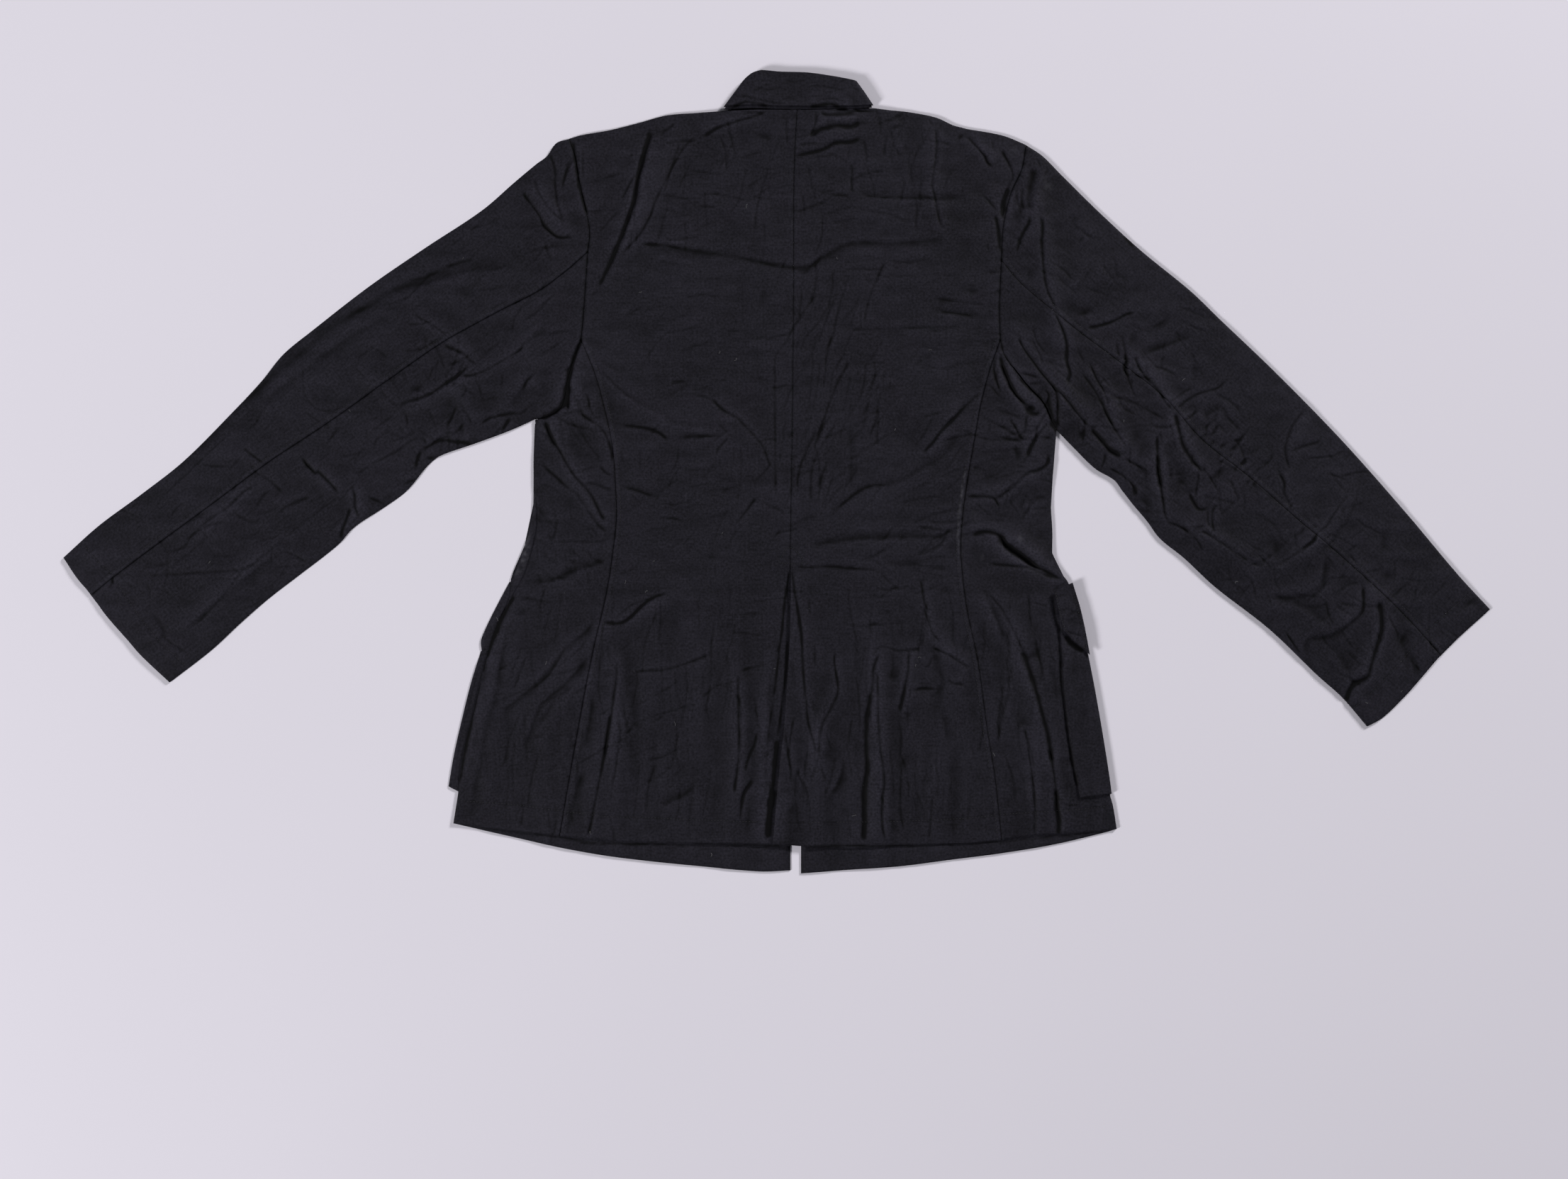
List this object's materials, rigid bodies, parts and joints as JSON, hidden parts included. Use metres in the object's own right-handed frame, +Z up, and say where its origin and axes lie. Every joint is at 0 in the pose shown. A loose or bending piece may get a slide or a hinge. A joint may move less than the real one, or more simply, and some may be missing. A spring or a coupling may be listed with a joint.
{
  "type": "police uniform jacket laid flat",
  "caption": "Single-vent uniform jacket with stand-and-fall collar, two-piece sleeves and bellows pockets, laid flat on its front with its back up.",
  "frame": {"origin": "on the surface that the garment lies on, under the middle of the laid garment's box", "axes": "+X from the wearer's left cuff towards the right one, +Y from the hem towards the collar, +Z up out of the back"},
  "size_m": [1.4078, 0.7916, 0.0087],
  "materials": {
    "twill": "matte black cotton twill with a faint sheen",
    "twill_folded": "the same twill, doubled at the collar, pockets and flaps"
  },
  "bodies": {
    "root": {"back_left": "twill", "back_right": "twill", "side_left": "twill", "side_right": "twill", "front_left": "twill", "front_right": "twill", "sleeve_top_left": "twill", "sleeve_top_right": "twill", "sleeve_under_left": "twill", "sleeve_under_right": "twill", "collar_fall": "twill_folded", "collar_stand": "twill", "pocket_left": "twill_folded", "pocket_right": "twill_folded", "pocket_flap_left": "twill_folded", "pocket_flap_right": "twill_folded"}
  },
  "joints": []
}
